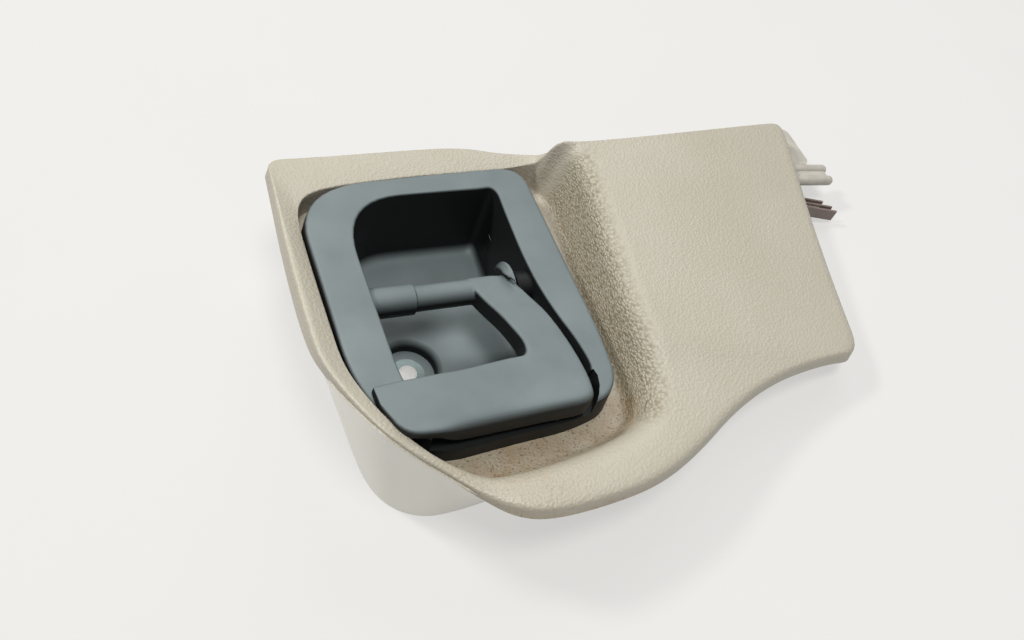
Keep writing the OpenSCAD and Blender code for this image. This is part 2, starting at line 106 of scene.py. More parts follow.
# Lever. The flange has rows of x and diameter. A plane through the three points of FLANGE_CUT
# trims it, and the first two of them lie along the arm's outer upper edge.
TUBE_D = 8.8
TUBE_X = (-9, 27.2)
PIN_D = 5
END_GAP = 0.3
BOSS_CLEARANCE = 1.4
FLANGE = ((22.2, 13.6), (22.6, 15), (24.4, 18), (24.9, 18), (25.3, 17.4))
FLANGE_CUT = ((24, 9.4, -3.1), (27, 5.8, -2.8), (-118, -173, 246))
INNER_ROUNDS = (1.2, 1.5)
OUTER_LOW_ROUND = 1.2
FILLET_VOXEL = 0.35
FILLET_PASSES = 6

# Locating prong, wing and the clip's tongue.
PRONG_AT = (148, 31.5, 8)
PRONG_TURN = -5
PRONG_GAP = 6
PRONG_R = 2
PRONG_LEN = 25
PRONG_TIP = (1, 0.9, 0.7, 0.4, 0.05)
PRONG_SIDES = 24
WEB_HALF_T = 0.9
WING = (154, 40.5, 172, 61, 3)
WING_Z = (4, 6.2)
CLIP_AT = (150, 24, -2)
CLIP_TURN = -18
TONGUE_X = (3, 17)
TONGUE_Y = (0.9, 2.1)
TONGUE_Z = (1, 4)

# How far a cutting tool reaches past what it cuts, and what counts as nothing.
CUT_PAST = 1
CUT_THROUGH = 20
TINY = 1e-6

# Steps along each rounding, and rows from one station to the next.
ROUND_STEPS = 6
PANEL_STEPS = 6
SKIRT_STEPS = 8
HOUSING_STEPS = 10
LEVER_STEPS = 10

# Panel stations, round the tray from the box on the right by the back, the left and the front.
# Each row has the wall's foot x and y, the edge's x and y, the edge's z (None: on the box's top),
# how far the wall leans out, the lip's drop and flange, and the crest's depth below the edge.
BOX_STATIONS = [
    (54, 0, 150, 0, None, 6, 18, 0, 0), (56.5, 24, 158, 34, None, 6, 20, 0, 0),
    (58, 36, 161.5, 48, None, 6, 20.5, 0, 0), (58, 42, 163, 56.5, None, 6, 20, 0, 0),
    (58, 45, 156, 56.5, None, 6, 17, 5, 0), (57.5, 48, 115, 54.5, None, 5, 15, 8, 0),
    (57, 51, 84, 53, None, 4, 15, 8, 0), (56, 53, 68, 52.5, None, 3, 15, 8, 0),
    (55, 54.5, 62, 54, 14, 2, 14, 8, 0),
]
BOX_END_STATIONS = [(54, 56.5, 58, 60, 2, 1, 5, 0, 2)]
BACK_STATIONS = [
    (50, 57.6, 52, 62, 0, 0.2, 4.5, 0, 1.5), (40, 57.4, 40, 64, 0, -0.4, 4.5, 0, 2),
    (26, 57.4, 27, 68, 0, -0.4, 5, 0, 2), (3, 57, 3, 68, 0, -0.4, 5.5, 0, 2),
    (-18, 55.6, -19, 67.4, 0, -0.4, 5.5, 0, 2), (-30, 54, -34, 67.3, 0, -0.4, 6, 0, 2),
    (-36.6, 50.6, -44, 67.4, 0, -0.4, 6, 0, 2.2),
]
LEFT_STATIONS = [
    (-39.6, 42.5, -44.8, 58, 0.4, -0.4, 6, 0, 3), (-40.2, 24, -46.6, 24, 1, -0.4, 6.5, 0, 3.4),
    (-40.4, -4, -47.5, -6, 2, -0.4, 6.5, 0, 3.6),
]
LEFT_END_STATIONS = [(-40.6, -19.3, -47.6, -20, 4, 0.2, 5.5, 0, 3.4)]
FRONT_LEFT_STATIONS = [
    (-35.4, -37.4, -39.5, -42, 5.5, 0.6, 4.2, 0, 1.5), (-26, -48.6, -29, -52, 1, 1, 3.6, 0, 0),
    (-16, -55, -19.5, -58.5, -3, 1.5, 3.6, 0, 0), (-6, -59.5, -10.5, -66.5, -5, 2, 4, 0, 0),
]
FRONT_STATIONS = [
    (0, -59.3, -2, -72.5, -4, 3, 5, 0, 0), (10, -59, 8, -76, -3.5, 3.5, 5, 0, 0),
    (24, -57.4, 26, -76, -3, 4, 5, 0, 0), (36, -55, 46, -74, -2, 5, 5, 0, 0),
    (45.5, -52, 64, -67, -0.5, 6, 5, 0, 0), (50.5, -45.5, 82, -57, 1.5, 6, 5, 0, 0),
    (52, -36, 102, -50, 3.3, 6, 5, 0, 0), (52.6, -26, 125, -47.5, None, 6, 5, 0, 0),
    (53.2, -18, 140.5, -48, None, 6, 6, 0, 0), (53, -11, 144, -30, None, 6, 13, 0, 0),
]
# Each run of stations also has the edge's rounding, how far the lip leans out and the sheet's
# thickness inside the wall.
PANEL_STATIONS = [row + style for rows, style in (
    (BOX_STATIONS, (5, 1.2, SHEET_T)),
    (BOX_END_STATIONS, (2.4, 1.2, SHEET_T)),
    (BACK_STATIONS, (1, 1.2, SHEET_T)),
    (LEFT_STATIONS, (2.4, 1.2, THIN_SHEET_T)),
    (LEFT_END_STATIONS, (2.4, -0.6, THIN_SHEET_T)),
    (FRONT_LEFT_STATIONS, (1.2, -0.6, THIN_SHEET_T)),
    (FRONT_STATIONS, (5, 1.2, SHEET_T)),
) for row in rows]

# The foot's x and y on the ground, from the point below HANDLE_AT, then the top's x, y and z.
SKIRT_STATIONS = [
    (-41, 62, -44.6, 62, -3), (-41, 30, -46, 28, -3), (-42, 10, -46.6, 0, -2.5),
    (-42.5, -14, -47.4, -20.5, -0.8), (-40, -38, -39.8, -42.35, 4),
    (-28, -50, -29.3, -52.35, -0.6), (-12, -51.5, -19.8, -58.8, -4.6),
    (0, -51, -10.8, -66.9, -6.8), (8, -49, 1, -66, -12.5),
]

# Housing stations: the outer edge's x and y, then the opening's x and y.
HOUSING_STATIONS = [
    (48.2, 9, 32, 10), (48.2, 36, 33, 36), (48.2, 57, 33.8, 47.2), (26, 57, 27, 46.8),
    (12, 56.4, 20, 46.8), (-39.8, 53.4, -24.5, 46.5), (-39.8, 8, -24.5, -4),
    (-40.4, -29, -24.5, -28), (-24, -51.5, -20, -37), (8, -49, -2, -37), (28, -48.4, 22, -37),
    (45.6, -43.4, 38.6, -37), (48.2, -22, 38, -24), (48.2, -6, 34, -8),
]

# The bezel's right rail ends in a curve beside the grip. The toe fills the bezel from that curve
# out to the toe's corners.
RAIL_END = [
    (LEDGE_X[1], NOTCH_BACK_Y), (38.8, -36.5), (37.9, -40.2), (36.2, -43.4), (34.6, -45.8),
    (34, -49),
]
TOE_CORNERS = [(34, -55), (46, -55), (46, NOTCH_BACK_Y)]

# The pocket round the sleeve: growth in diameter, and height over the bowl's floor.
POCKET_STEPS = (
    (0, -POCKET_DEPTH), (0, -3), (0.5, -1.8), (1.6, -0.8), (3.4, -0.15), (4.4, 0.1), (4.4, 8),
)

# Lever stations: the inner edge's x and y, the outer edge's x and y, the top's z, the thickness and
# the outer upper edge's rounding.
LEVER_STATIONS = [
    (10.3, 11, 20, 11, -4.2, 6.2, 1.5), (10.6, 9, 24, 9.4, -3.1, 7.6, 1),
    (11.5, 4, 27, 5.8, -2.8, 7.8, 1), (13.2, -1.5, 29.4, -1.5, -1.8, 8, 1.2),
    (15, -8.5, 31.4, -9, 0.4, 8, 1.5), (16, -16, 32.5, -20, 2.6, 8, 1.5),
    (16.8, -22, 33, -31, 4.2, 8.6, 1.5), (15.5, -27.6, 33.3, -41, 5, 9.4, 2.5),
    (10, -27.6, 32.4, -47.6, 5, 9.6, 4.5), (4, -28, 18, -47.6, 5, 9.6, 4.5),
    (-8, -29, -6, -48.2, 5, 9.6, 4.5), (-14, -29, -14, -48.6, 5, 9, 4),
    (-19, -29.2, -20, -48.8, 5, 4.3, 2), (-29, -29.5, -31, -47.5, 5, 4.3, 1.8),
    (-35.5, -30, -35, -37, 4.6, 3.8, 1.5),
]

# Dirt on the tray, the rim darker towards its front left, and the box's wall with its deeper grain.
# A pair holds where a fade starts and where it is full.
DIRT_Z = (-5, -10)
DIRT_FRONT_Y = (-30, -42)
DIRT_LEAST = 0.3
RIM_DARKER = 0.28
RIM_DARKER_X = (30, 10)
RIM_DARKER_Y = (-52, -58)
WALL_START = (-2, 0)
WALL_STOP = (11, 7)
WALL_X = (44, 48)
WALL_Y = (50, 45)

# A face counts as looking up when its normal's z is more than this.
UPWARD = 0.6

# Where the housing is painted near black as shade: under the grip and beside the lever's flange.
PAINTED_SHADE_Z = (-13, -2)
PAINTED_SHADE_FRONT_Y = -35.5
PAINTED_SHADE_SIDE_X = 26
PAINTED_SHADE_SIDE_Y = (0, 15)

BEIGE = (0.360, 0.331, 0.262)
BEIGE_LIGHT = (0.382, 0.353, 0.284)
# The skirt's smooth beige, about twice as light as the grained beige of the same plastic: painted
# light.
SMOOTH_BEIGE_PAINTED_LIT = (0.78, 0.755, 0.68)
SMOOTH_BEIGE_PAINTED_LIT_PALE = (0.80, 0.78, 0.71)
MOULDED_BEIGE = (0.42, 0.395, 0.34)
# The wall's grain: dark grooves, which also paint the wall darker as a whole, as painted shade.
GRAIN_TOP = (0.95, 0.94, 0.90)
GROOVE_AND_WALL_SHADE = (0.55, 0.51, 0.42)
DUST = (0.26, 0.18, 0.092)
GRIT = (0.05, 0.035, 0.02)
SLATE = (0.126, 0.151, 0.153)
SLATE_LIGHT = (0.156, 0.184, 0.186)
# Near black: painted shade on the slate's faces that do not look up.
SLATE_PAINTED_SHADE = (0.006, 0.007, 0.007)
# The sleeve's zinc: painted light in its bore, and the darker colour of its face.
ZINC_BORE_PAINTED_LIGHT = (0.95, 0.95, 0.93)
ZINC_FACE = (0.13, 0.16, 0.16)
PAPER = (0.200, 0.197, 0.190)
PAPER_LIGHT = (0.205, 0.202, 0.195)
BLACK, WHITE = (0, 0, 0), (1, 1, 1)

# Stage.
FLOOR_HALF = 9000
FLOOR_GLOW = (1, 0.992, 0.975, 1)
FLOOR_GLOW_STRENGTH = 0.545
SKY_STRENGTH = 0.28
LIGHT_AIM = (0, 0, 0.03)
# Name, place, diameter in metres and power in watts.
LIGHTS = (
    ("window", (-0.55, 0.5, 0.9), 0.2, 8),
    ("mirror", (0.45, 0.55, 0.9), 0.8, 4),
    ("ceiling", (0.0, -0.25, 1.1), 0.3, 8),
)
SENSOR_WIDTH = 36
LENS = 35.16
CAMERA_AT = (-0.1174, -0.1695, 0.3131)
CAMERA_RIGHT = (0.9372, -0.3459, 0.0446)
CAMERA_UP = (0.2669, 0.7937, 0.5467)


# Lines, loops and skins.
def spline(a, b, c, t):
    """A point of the curve that runs from the middle of a and b to the middle of b and c."""
    return a * (1 - t) ** 2 / 2 + b * (0.5 + t - t * t) + c * t * t / 2


def smooth_ring(net, steps):
    """A closed ring of rows of points, smooth from station to station."""
    n = len(net)
    return [spline(net[i - 1], net[i], net[(i + 1) % n], s / steps)
            for i in range(n) for s in range(steps)]


def smooth_path(net, steps):
    """An open run of rows of points, smooth between its two end stations."""
    inner = [spline(net[i - 1], net[i], net[i + 1], s / steps)
             for i in range(1, len(net) - 1) for s in range(steps)]
    return [net[0]] + inner + [net[-1]]


def corner(a, b, c, r, n):
    """One rounded corner of a broken line, as n + 1 points. It takes under half of each side."""
    most = 0.48
    start = b + (a - b) * min(r / np.linalg.norm(a - b), most)
    end = b + (c - b) * min(r / np.linalg.norm(c - b), most)
    return [start * (1 - t) ** 2 + b * 2 * t * (1 - t) + end * t * t
            for t in np.linspace(0, 1, n + 1)]


def rounded(line, radii, n):
    """An open line with its inner corners rounded."""
    arcs = [p for k, r in enumerate(radii)
            for p in corner(line[k], line[k + 1], line[k + 2], r, n)]
    return [line[0]] + arcs + [line[-1]]


def rounded_loop(line, radii, n):
    """A closed line with all its corners rounded."""
    m = len(line)
    return [p for k, r in enumerate(radii)
            for p in corner(line[k - 1], line[k], line[(k + 1) % m], r, n)]


def toward(a, b):
    return (b - a) / np.linalg.norm(b - a)


def raised(p, z):
    return np.array([p[0], p[1], z])


def resting(p):
    """A point of the handle's frame, in the resting frame."""
    return np.array(REST @ Vector(p))


def fade(value, start, end):
    """0 at start, 1 at end, and straight between."""
    return np.clip((value - start) / (end - start), 0, 1)


def skin(loops, ring):
    """Points and faces of a solid over closed loops, as a ring or with capped ends."""
    n, m = len(loops), len(loops[0])
    faces = []
    for i in range(n if ring else n - 1):
        k = (i + 1) % n
        faces += [(i * m + j, k * m + j, k * m + (j + 1) % m, i * m + (j + 1) % m)
                  for j in range(m)]
    if not ring:
        faces += [tuple(range(m)), tuple(range((n - 1) * m, n * m))[::-1]]
    return [p for loop in loops for p in loop], faces


def cup(loops, seam):
    """A solid over a ring of loops, where two flat caps take the place of one row of faces."""
    points, faces = skin(loops, True)
    n, m = len(loops), len(loops[0])
    faces = [f for i, f in enumerate(faces) if i % m != seam]
    faces += [tuple(i * m + seam for i in range(n)),
              tuple(i * m + seam + 1 for i in range(n))[::-1]]
    return points, faces


def new_mesh(name, points, faces, rest=True):
    """A closed mesh from points in millimetres, in the handle's frame unless rest is False."""
    mesh = bpy.data.meshes.new(name)
    place = REST if rest else Matrix.Identity(4)
    mesh.from_pydata([(place @ Vector(p)) * MM for p in points], [], faces)
    shape = bmesh.new()
    shape.from_mesh(mesh)
    bmesh.ops.recalc_face_normals(shape, faces=shape.faces)
    shape.to_mesh(mesh)
    shape.free()
    obj = bpy.data.objects.new(name, mesh)
    bpy.context.scene.collection.objects.link(obj)
    return obj


def circle(x, y, d, n=72):
    return [(x + d / 2 * math.cos(a), y + d / 2 * math.sin(a)) for a in np.arange(n) * math.tau / n]


def prism(outline, low, high, axis="z"):
    """An outline drawn out along an axis. The outline has the other two coordinates, in order."""
    place = {
        "x": lambda u, v, h: (h, u, v),
        "y": lambda u, v, h: (u, h, v),
        "z": lambda u, v, h: (u, v, h),
    }[axis]
    ends = [[place(u, v, h) for u, v in outline] for h in (low, high)]
    return new_mesh("tool", *skin(ends, False))


def rod(d, x0, x1, at=PIVOT):
    """A round bar along x, on the pivot unless at says otherwise."""
    return prism(circle(*at, d), x0, x1, "x")


def post(d, at, z0, z1):
    return prism(circle(*at, d), z0, z1)


def block(low, high):
    outline = [(low[0], low[1]), (high[0], low[1]), (high[0], high[1]), (low[0], high[1])]
    return prism(outline, low[2], high[2])


def rounded_rect(x0, y0, x1, y1, r):
    return [(x + r * math.cos(a + b), y + r * math.sin(a + b))
            for x, y, a in ((x1 - r, y1 - r, 0), (x0 + r, y1 - r, math.pi / 2),
                            (x0 + r, y0 + r, math.pi), (x1 - r, y0 + r, 1.5 * math.pi))
            for b in np.linspace(0, math.pi / 2, ROUND_STEPS + 1)]


def apply_modifiers(obj):
    graph = bpy.context.evaluated_depsgraph_get()
    mesh = bpy.data.meshes.new_from_object(obj.evaluated_get(graph))
    obj.modifiers.clear()
    obj.data = mesh


def cut(obj, operation, others):
    """A boolean of obj with each of the others, which are then removed."""
    for other in others:
        mod = obj.modifiers.new("cut", "BOOLEAN")
        mod.operation = operation
        mod.solver = "MANIFOLD"
        mod.object = other
    bpy.context.view_layer.update()
    apply_modifiers(obj)
    for other in others:
        bpy.data.objects.remove(other)


def cut_flush(obj, a, b, c):
    """Takes off the side of a plane from which its points a, b and c run anticlockwise."""
    a, b, c = (REST @ Vector(p) * MM for p in (a, b, c))
    shape = bmesh.new()
    shape.from_mesh(obj.data)
    everything = shape.verts[:] + shape.edges[:] + shape.faces[:]
    bmesh.ops.bisect_plane(shape, geom=everything, plane_co=a, plane_no=(b - a).cross(c - a),
                           clear_outer=True)
    bmesh.ops.holes_fill(shape, edges=[e for e in shape.edges if e.is_boundary])
    bmesh.ops.recalc_face_normals(shape, faces=shape.faces)
    shape.to_mesh(obj.data)
    shape.free()


def soften(obj, voxel, passes):
    """One skin with small fillets where its parts meet, as a mould leaves them."""
    mod = obj.modifiers.new("remesh", "REMESH")
    mod.mode = "VOXEL"
    mod.voxel_size = voxel * MM
    mod = obj.modifiers.new("smooth", "SMOOTH")
    mod.factor = 0.5
    mod.iterations = passes
    apply_modifiers(obj)


def shade(obj, material, angle=40):
    """Smooth shading, with the edges sharper than angle left sharp."""
    obj.data.materials.clear()
    obj.data.materials.append(material)
    obj.data.shade_smooth()
    obj.data.set_sharp_from_angle(angle=math.radians(angle))


# Materials.
class Nodes:
    """Small helper to wire a procedural material."""

    def __init__(self, name, base, rough):
        self.material = bpy.data.materials.new(name)
        self.material.use_nodes = True
        self.tree = self.material.node_tree
        self.bsdf = self.tree.nodes["Principled BSDF"]
        self.bsdf.inputs["Base Color"].default_value = (*base, 1)
        self.bsdf.inputs["Roughness"].default_value = rough
        self.place = self.add("ShaderNodeTexCoord").outputs["Object"]

    def add(self, kind, **values):
        node = self.tree.nodes.new(kind)
        for key, value in values.items():
            setattr(node, key, value)
        return node

    def link(self, out, into):
        self.tree.links.new(out, into)

    def scaled(self, size_mm, stretch=(1, 1, 1)):
        """Object coordinates in which a pattern of unit size comes out at size_mm."""
        mapping = self.add("ShaderNodeMapping")
        mapping.inputs["Scale"].default_value = [s * 1000 / size_mm for s in stretch]
        self.link(self.place, mapping.inputs["Vector"])
        return mapping.outputs[0]

    def noise(self, size_mm, detail):
        noise = self.add("ShaderNodeTexNoise")
        noise.inputs["Scale"].default_value = 1
        noise.inputs["Detail"].default_value = detail
        self.link(self.scaled(size_mm), noise.inputs["Vector"])
        return noise.outputs["Fac"]

    def cells(self, size_mm, stretch=(1, 1, 1), warp=0.35):
        """Pebbled leather grain: soft warped cells of that size."""
        place = self.scaled(size_mm, stretch)
        warping = self.add("ShaderNodeTexNoise")
        warping.inputs["Scale"].default_value = 0.9
        self.link(place, warping.inputs["Vector"])
        warped = self.add("ShaderNodeMix", data_type="RGBA", blend_type="LINEAR_LIGHT")
        warped.inputs["Factor"].default_value = warp
        self.link(place, warped.inputs["A"])
        self.link(warping.outputs["Color"], warped.inputs["B"])
        cell = self.add("ShaderNodeTexVoronoi", feature="SMOOTH_F1")
        cell.inputs["Scale"].default_value = 1
        cell.inputs["Smoothness"].default_value = 0.35
        self.link(warped.outputs["Result"], cell.inputs["Vector"])
        return cell.outputs["Distance"]

    def attribute(self, name):
        return self.add("ShaderNodeAttribute", attribute_name=name).outputs["Fac"]

    def facing_up(self, normal):
        """How far a normal points out of the bezel's face, from -1 to 1."""
        dot = self.add("ShaderNodeVectorMath", operation="DOT_PRODUCT")
        self.link(normal, dot.inputs[0])
        dot.inputs[1].default_value = REST.to_3x3() @ Vector((0, 0, 1))
        return dot.outputs["Value"]

    def ramp(self, value, stops):
        node = self.add("ShaderNodeValToRGB")
        first, last = node.color_ramp.elements
        for element, (at, colour) in ((first, stops[0]), (last, stops[-1])):
            element.position = at
            element.color = (*colour, 1)
        for at, colour in stops[1:-1]:
            node.color_ramp.elements.new(at).color = (*colour, 1)
        self.link(value, node.inputs["Fac"])
        return node.outputs["Color"]

    def mottled(self, size_mm, a, b):
        """Two tones in soft patches of that size."""
        return self.ramp(self.noise(size_mm, 4), [(0.35, a), (0.65, b)])

    def math(self, kind, a, b):
        node = self.add("ShaderNodeMath", operation=kind)
        for socket, value in zip(node.inputs, (a, b)):
            if isinstance(value, (int, float)):
                socket.default_value = value
            else:
                self.link(value, socket)
        return node.outputs[0]

    def times(self, a, b):
        """Two colours multiplied."""
        node = self.add("ShaderNodeMix", data_type="RGBA", blend_type="MULTIPLY")
        node.inputs["Factor"].default_value = 1
        self.link(a, node.inputs["A"])
        self.link(b, node.inputs["B"])
        return node.outputs["Result"]

    def mix_values(self, factor, a, b):
        node = self.add("ShaderNodeMix", data_type="FLOAT")
        self.link(factor, node.inputs["Factor"])
        self.link(a, node.inputs["A"])
        self.link(b, node.inputs["B"])
        return node.outputs["Result"]

    def mix(self, factor, a, b):
        """Two colours mixed, each a tuple or a socket."""
        node = self.add("ShaderNodeMix", data_type="RGBA")
        self.link(factor, node.inputs["Factor"])
        for socket, value in ((node.inputs["A"], a), (node.inputs["B"], b)):
            if isinstance(value, tuple):
                socket.default_value = (*value, 1)
            else:
                self.link(value, socket)
        return node.outputs["Result"]

    def bump(self, height, depth_mm, strength, after=None):
        node = self.add("ShaderNodeBump")
        node.inputs["Distance"].default_value = depth_mm * MM
        node.inputs["Strength"].default_value = strength
        self.link(height, node.inputs["Height"])
        if after is not None:
            self.link(after, node.inputs["Normal"])
        self.link(node.outputs["Normal"], self.bsdf.inputs["Normal"])
        return node.outputs["Normal"]

    def colour(self, out):
        self.link(out, self.bsdf.inputs["Base Color"])

    def rough(self, value, low, high):
        node = self.add("ShaderNodeMapRange")
        node.inputs["To Min"].default_value = low
        node.inputs["To Max"].default_value = high
        self.link(value, node.inputs["Value"])
        self.link(node.outputs[0], self.bsdf.inputs["Roughness"])


def beige_grained():
    """Leather grain: fine pebbles on flat faces, deeper wrinkles on the box's wall."""
    grain_mm, grain_depth = 0.95, 0.4
    flat_share, wall_share = 0.5, 0.48
    dust_cover, grit_cover = 0.78, 0.7
    m = Nodes("beige_grained", BEIGE, 0.5)
    m.bsdf.inputs["Specular IOR Level"].default_value = 0.6
    wall = m.attribute("wall")
    dirty = m.attribute("dirt")
    pebbles = m.cells(grain_mm)
    wrinkles = m.cells(grain_mm, (0.75, 0.8, 1.6), 0.45)
    tone = m.mottled(40, BEIGE, BEIGE_LIGHT)
    # Dark grooves of the wall's wrinkles, also painted shade that darkens the whole wall.
    grooves_and_wall_shade = m.ramp(wrinkles, [(0.25, GRAIN_TOP), (0.75, GROOVE_AND_WALL_SHADE)])
    specks = m.ramp(m.noise(0.8, 2), [(0.60, BLACK), (0.66, WHITE)])
    patches = m.ramp(m.noise(7, 3), [(0.35, (0.45, 0.45, 0.45)), (0.7, WHITE)])
    dust_and_painted_light = m.math("MULTIPLY", m.math("MULTIPLY", dirty, patches), dust_cover)
    grit = m.math("MULTIPLY", m.math("MULTIPLY", dirty, specks), grit_cover)
    tone = m.mix(dust_and_painted_light, m.times(tone, m.mix(wall, WHITE, grooves_and_wall_shade)), DUST)
    m.colour(m.mix(grit, tone, GRIT))
    depth = m.math("ADD", m.math("MULTIPLY", wall, wall_share), flat_share)
    grain = m.math("MULTIPLY", m.mix_values(wall, pebbles, wrinkles), depth)
    grained = m.bump(grain, grain_depth, 0.85)
    m.bump(m.noise(0.45, 2), 0.05, 0.4, after=grained)
    m.rough(m.noise(2, 2), 0.40, 0.50)
    return m.material


# Smooth beige of the skirt's sides, painted lighter than the panel's grain as painted light.
def beige_smooth_painted_lit():
    m = Nodes("beige_smooth_painted_lit", SMOOTH_BEIGE_PAINTED_LIT, 0.45)
    m.colour(m.mottled(30, SMOOTH_BEIGE_PAINTED_LIT, SMOOTH_BEIGE_PAINTED_LIT_PALE))
    m.bump(m.noise(0.8, 3), 0.04, 0.2)
    m.rough(m.noise(3, 3), 0.40, 0.5)
    return m.material


def slate_painted_light_and_shade():
    """Matt slate, painted lighter on faces that look up and near black as shade on the rest."""
    m = Nodes("slate_painted_light_and_shade", SLATE, 0.5)
    m.bsdf.inputs["Specular IOR Level"].default_value = 0.25
    up = m.facing_up(m.add("ShaderNodeTexCoord").outputs["Normal"])
    # Painted light and shade: the more a face looks up, the more of the lit slate it gets.
    dust_and_painted_light = m.ramp(up, [(0.2, BLACK), (0.65, (0.6, 0.6, 0.6)), (0.95, WHITE)])
    # None of the lit slate where the housing is painted in shade.
    dust_and_painted_light = m.math("MULTIPLY", dust_and_painted_light, m.math("SUBTRACT", 1.0, m.attribute("painted_shade")))
    m.colour(m.mix(dust_and_painted_light, SLATE_PAINTED_SHADE, m.mottled(25, SLATE, SLATE_LIGHT)))
    m.bump(m.noise(0.4, 3), 0.04, 0.45)
    m.rough(m.noise(8, 4), 0.45, 0.55)
    return m.material


def sleeve_painted_bore():
    """Zinc with painted light in the bore, for the lit floor seen through it, and a darker face."""
    m = Nodes("sleeve_zinc_painted_bore", (0.9, 0.9, 0.9), 0.3)
    m.bsdf.inputs["Metallic"].default_value = 0.9
    up = m.facing_up(m.add("ShaderNodeNewGeometry").outputs["Normal"])
    m.colour(m.ramp(up, [(0.5, ZINC_BORE_PAINTED_LIGHT), (0.9, ZINC_FACE)]))
    m.rough(m.noise(1, 3), 0.25, 0.4)
    return m.material


def metal(name, base, rough):
    m = Nodes(name, base, rough)
    m.bsdf.inputs["Metallic"].default_value = 1
    m.colour(m.mottled(2, tuple(c * 0.75 for c in base), base))
    m.bump(m.noise(2 / 3, 2), 0.02, 0.3)
    m.rough(m.noise(2, 3), rough - 0.07, rough + 0.1)
    return m.material


def plain(name, base, rough):
    m = Nodes(name, base, rough)
    m.colour(m.mottled(6, tuple(c * 0.85 for c in base), base))
    m.bump(m.noise(1.5, 3), 0.03, 0.3)
    m.rough(m.noise(3, 3), rough - 0.05, rough + 0.08)
    return m.material


# Trim panel.
def box_top(p):
    return BOX_RISE - BOX_FALL * (BOX_BACK_Y - p[1])


def hole_point(direction):
    """Where a ray from the middle of the tray's hole meets its rounded outline."""
    x0, y0, x1, y1 = HOLE
    dx, dy = direction
    reach = min(((x1 if dx > 0 else x0) / dx) if dx else math.inf,
                ((y1 if dy > 0 else y0) / dy) if dy else math.inf)
    p = direction * reach
    centre = np.array([np.clip(p[0], x0 + HOLE_R, x1 - HOLE_R),
                       np.clip(p[1], y0 + HOLE_R, y1 - HOLE_R)])
    off = p - centre
    if min(abs(off)) < TINY or np.linalg.norm(off) < HOLE_R:
        return p
    along, gap = direction @ centre, centre @ centre - HOLE_R ** 2
    return direction * (along + math.sqrt(along ** 2 - gap))


def panel_front(s):
    """The panel's upper line at a station, from tray floor to lip, with the style as last row."""
    foot, edge = np.array(s[0:2], float), np.array(s[2:4], float)
    lean, drop, flange, dip, edge_r, splay, sheet = s[5:]
    out = toward(foot, edge)
    crest = foot + lean * out
    on_box = s[4] is None
    edge_z = box_top(edge) if on_box else s[4]
    crest_z = box_top(crest) if on_box else s[4] - dip
    lip_z = edge_z - drop
    turn_z = lip_z if flange > 0 else edge_z - (drop + SHEET_T) / 2
    return np.array([
        raised(foot * FLOOR_START, -TRAY_DEPTH), raised(foot, -TRAY_DEPTH),
        raised(crest, crest_z), raised(edge, edge_z),
        raised(edge + out * splay * LIP_TURN, turn_z),
        raised(edge + out * splay + [0, flange], lip_z), [edge_r, sheet, 0]])


def panel_back(p):
    """The same line on the panel's underside."""
    out = toward(p[1][:2], p[3][:2])
    shoulder = np.linalg.norm(p[3][:2] - p[2][:2])
    inset = raised(out * min(p[6][1], shoulder / 2 - SHEET_GAP), 0)
    down = np.array([0, 0, SHEET_T])
    dip = np.array([0, 0, max(0, p[3][2] - p[2][2]) * np.linalg.norm(inset) / shoulder])
    flange = np.linalg.norm(p[5][:2] - p[4][:2]) - LIP_WIDTH
    turned = min(1, max(0, flange))
    return [p[0] - down, p[1] + inset - down, p[2] + inset - down, p[3] - inset - down - dip,
            p[4] - inset - down * turned, p[5] - inset * (1 - turned) - down * turned]


def panel_loop(p):
    """The sheet's closed outline at a station. Its inner end is the edge of the tray's hole."""
    lean = np.linalg.norm(p[2][:2] - p[1][:2])
    radii = (FOOT_ROUND * lean, min(CREST_ROUND * lean, CREST_R), p[6][0], LIP_R)
    front = rounded(p[:6], radii, ROUND_STEPS)
    back = rounded(panel_back(p), radii, ROUND_STEPS)
    hole = hole_point(p[0][:2] / np.linalg.norm(p[0][:2]))
    front[0] = raised(hole, -TRAY_DEPTH)
    back[0] = raised(hole, -TRAY_DEPTH - SHEET_T)
    return front + back[::-1]


def skirt():
    """A sheet that stands on the ground under the left and front left rim."""
    shift = np.array([*HANDLE_AT[:2], 0])
    foot = smooth_path([np.array([s[0], s[1], 0]) + shift for s in SKIRT_STATIONS], SKIRT_STEPS)
    top = smooth_path([resting(s[2:5]) for s in SKIRT_STATIONS], SKIRT_STEPS)
    last = len(foot) - 1
    loops = []
    for i in range(len(foot)):
        inner = []
        for line in (foot, top):
            along = line[min(i + 1, last)] - line[max(i - 1, 0)]
            inward = np.array([-along[1], along[0], 0]) / np.linalg.norm(along[:2])
            inner.append(line[i] + inward * SKIRT_T)
        loops.append([foot[i], *inner, top[i]])
    return new_mesh("panel_skirt", *skin(loops, False), rest=False)


